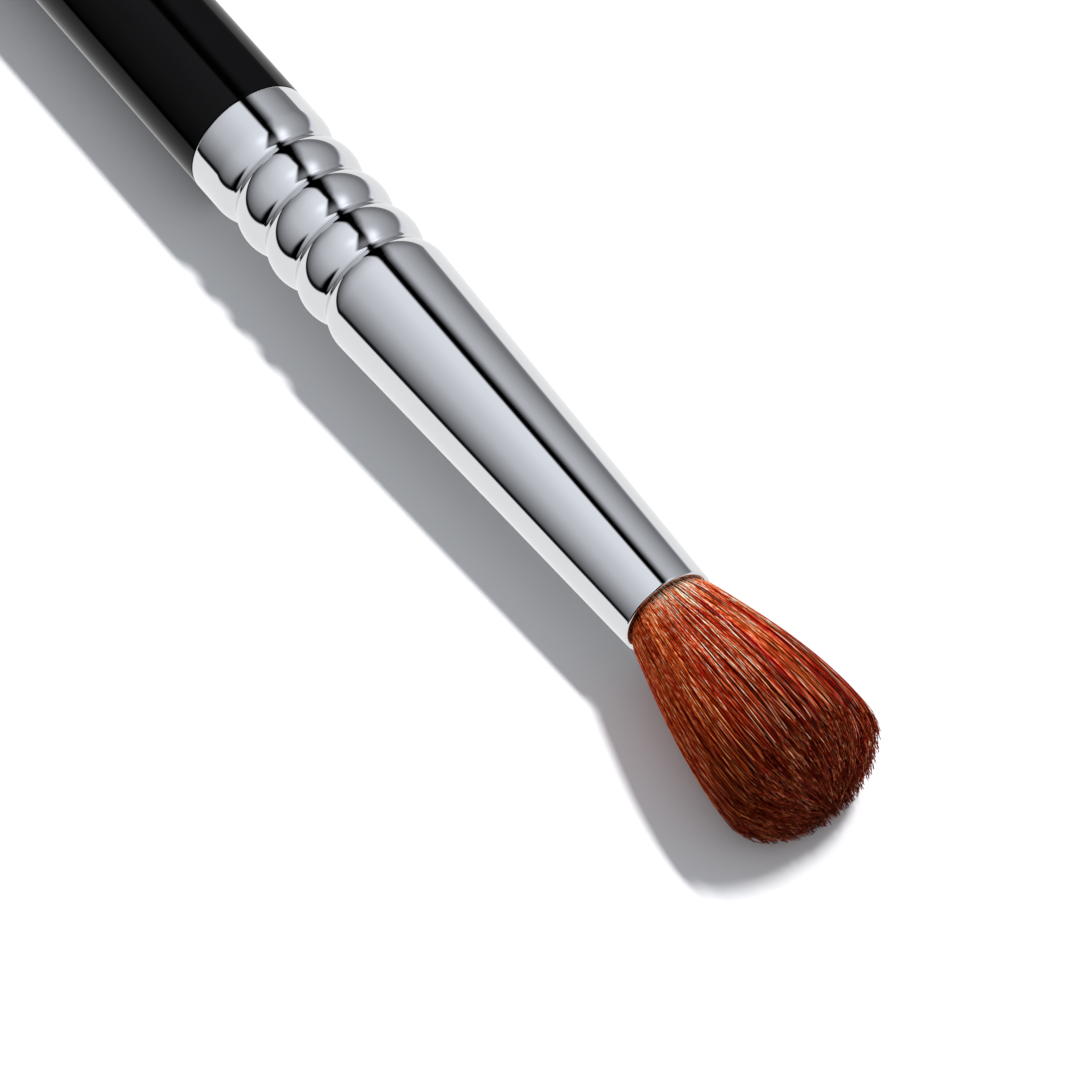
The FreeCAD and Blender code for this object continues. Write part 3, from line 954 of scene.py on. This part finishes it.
def packedHair(p, rng):
    sides = p["sides"]
    end = widest + p["dome"] * tuft["domeHeight"]
    run = np.linspace(0, 1, p["rings"]) ** p["ringCurve"]
    u = np.concatenate([insidePlaces, end * run])[:, None]
    dome = np.clip((u - widest) / (end - widest), 0, 1)
    radius = p["share"] * tuftRadius(u) * roundedOff(dome)
    turn = np.linspace(0, 2 * math.pi, sides, endpoint=False)[None]
    along = np.clip(u / hairLength, 0, 1)
    twist = p["ridgeTwist"] * along
    ridge = sum(np.cos(k * turn + rng.uniform(*p["ridgeStart"]) + twist) for k in p["ridges"])
    radius = radius * (1 + p["ridge"] * ridge)
    y = radius * np.cos(turn) - leanAside(along)
    z = axisHeight + radius * np.sin(turn)
    z = np.where(along > 0, softFloor(z, p["floorGap"], tuft["floorSoft"]), z)
    points = np.stack(np.broadcast_arrays(mouth.x + u, y, z), 2).reshape(-1, 3).tolist()
    ring = np.arange(sides)
    following = (ring + 1) % sides
    faces = [ring[::-1].tolist(), (ring + sides * (len(u) - 1)).tolist()]
    for start in range(0, sides * (len(u) - 1), sides):
        a, b = start + ring, start + following
        faces += np.stack([a, b, b + sides, a + sides], 1).tolist()
    tone = np.clip(p["tone"] + p["ridgeTone"] * ridge, 0, 1)
    tone = np.stack(np.broadcast_arrays(tone, along, p["shade"], p["hue"]), 2)
    return addHair("tuftPack", points, faces, tone)


def strandMesh(name, spots, clumpSpots, rng, fine=0.0):
    path, along = strandPaths(spots, clumpSpots, rng, fine)
    count, rings = along.shape
    sides = tuft["sides"]
    tangent = np.gradient(path, axis=1)
    tangent /= np.linalg.norm(tangent, axis=2, keepdims=True)
    sideways = np.cross(tangent, np.array([0.0, 0.0, 1.0]))
    sideways /= np.linalg.norm(sideways, axis=2, keepdims=True)
    upward = np.cross(sideways, tangent)
    radius = rng.uniform(*tuft["strandRadius"], count)[:, None] * (tuft["fineRadius"] if fine else 1)
    start, run = tuft["tipRun"]
    taper = 1 - (1 - tuft["tipShare"]) * np.clip((along - start) / run, 0, 1) ** tuft["tipCurve"]
    taper *= tuft["rootShare"] + (1 - tuft["rootShare"]) * np.clip(along / tuft["rootRun"], 0, 1)
    radius = (radius * taper)[:, :, None, None]
    turn = rng.uniform(0, 2 * math.pi, count)[:, None, None, None]
    angle = turn + (np.arange(sides) * 2 * math.pi / sides)[None, None, :, None]
    rim = np.cos(angle) * sideways[:, :, None] + np.sin(angle) * upward[:, :, None]
    points = (path[:, :, None] + radius * rim).reshape(-1, 3)

    strandStart = (np.arange(count) * rings * sides)[:, None, None]
    ringStart = (np.arange(rings - 1) * sides)[None, :, None]
    corner = np.arange(sides)[None, None, :]
    following = (corner + 1) % sides
    a = strandStart + ringStart + corner
    b = strandStart + ringStart + following
    walls = np.stack([a, b, b + sides, a + sides], 3).reshape(-1, 4)
    tips = strandStart[:, 0] + (rings - 1) * sides + np.arange(sides)[None]
    butts = strandStart[:, 0] + np.arange(sides)[None, ::-1]
    faces = walls.tolist() + tips.tolist() + butts.tolist()

    tone = np.repeat(strandTones(along, spots, rng, fine)[:, :, None], sides, 2)
    return addHair(name, points.tolist(), faces, tone)


def growTuft():
    rng = np.random.default_rng(tuft["seed"])
    spots = sunflower(tuft["strands"], tuft["rootJitter"], rng, tuft["crowding"])
    clumpSpots = sunflower(tuft["clumps"], tuft["clumpJitter"], rng)
    share = np.linalg.norm(spots, axis=1)
    heart, skin = share < tuft["heart"], share > tuft["skin"]
    left = spots[:, 0] < 0
    groups = {
        "tuftHeart": heart,
        "tuftMiddleLeft": ~heart & ~skin & left,
        "tuftMiddleRight": ~heart & ~skin & ~left,
        "tuftSkinLeft": skin & left,
        "tuftSkinRight": skin & ~left,
    }
    pieces = [strandMesh(name, spots[chosen], clumpSpots, rng) for name, chosen in groups.items()]
    edge = rng.uniform(0, 2 * math.pi, tuft["fine"])
    out = np.sqrt(rng.uniform(*tuft["finePlace"], (tuft["fine"], 1)))
    loose = np.stack([np.cos(edge), np.sin(edge)], 1) * out
    pieces.append(strandMesh("tuftFine", loose, clumpSpots, rng, fine=1.0))
    pieces.append(packedHair(pack, rng))
    for piece in pieces:
        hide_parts("hair_root", "bristle_head")
        print(piece.name, len(piece.data.polygons), "faces")


growTuft()
print("tuft grown")
